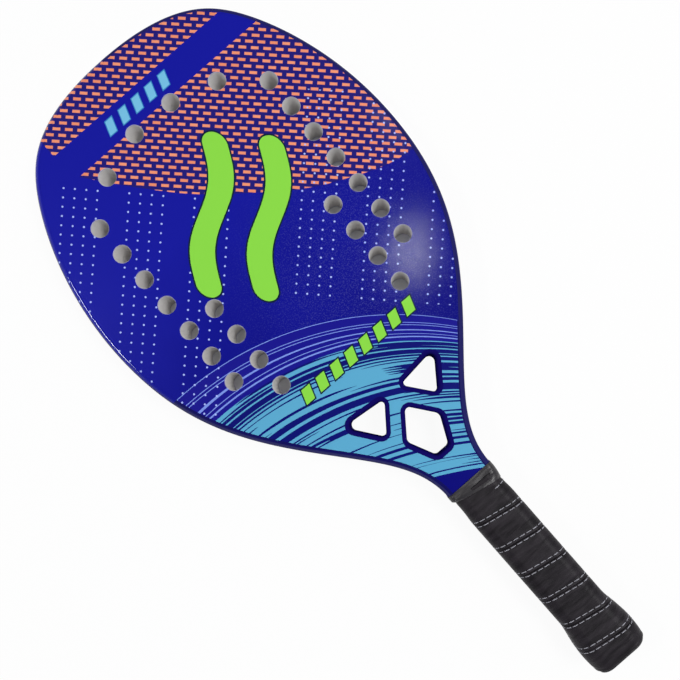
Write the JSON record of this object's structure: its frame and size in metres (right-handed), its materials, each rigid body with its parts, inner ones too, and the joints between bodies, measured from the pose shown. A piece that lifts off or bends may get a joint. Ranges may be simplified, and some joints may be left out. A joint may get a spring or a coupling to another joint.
{
  "type": "beach tennis racket",
  "caption": "Beach tennis racket: a foam-cored composite paddle with a drilled rounded head, a pierced throat, a straight handle wound with a grip strip and a flared butt.",
  "frame": {"origin": "on the surface that the racket lies on, below the middle of its length and width", "axes": "+Y from the butt to the tip of the head, +Z out of the front face, +X to the right as the front is seen with the head up"},
  "size_m": [0.231, 0.5, 0.0332],
  "materials": {
    "lacquered_frame": "glossy clear lacquer over a navy paint on moulded carbon and glass fibre",
    "printed_sheet": "printed composite sheet under clear lacquer with a fine grit",
    "eva_foam": "cut closed-cell foam",
    "filler_foam": "rigid foam",
    "laminate_sleeve": "bare moulded laminate",
    "moulded_cap": "moulded plastic",
    "cushion_underlay": "foamed rubber",
    "grip_leather": "smooth synthetic leather with a soft sheen",
    "finishing_tape": "satin stretch tape"
  },
  "bodies": {
    "root": {"frame_tube": "lacquered_frame", "throat_yoke": "lacquered_frame", "foam_core": "eva_foam", "front_skin": "printed_sheet", "back_skin": "printed_sheet", "handle_filler": "filler_foam", "handle_sleeve": "laminate_sleeve", "butt_cap": "moulded_cap", "grip_underlay": "cushion_underlay", "grip_wrap": "grip_leather", "collar_tape": "finishing_tape"}
  },
  "joints": []
}
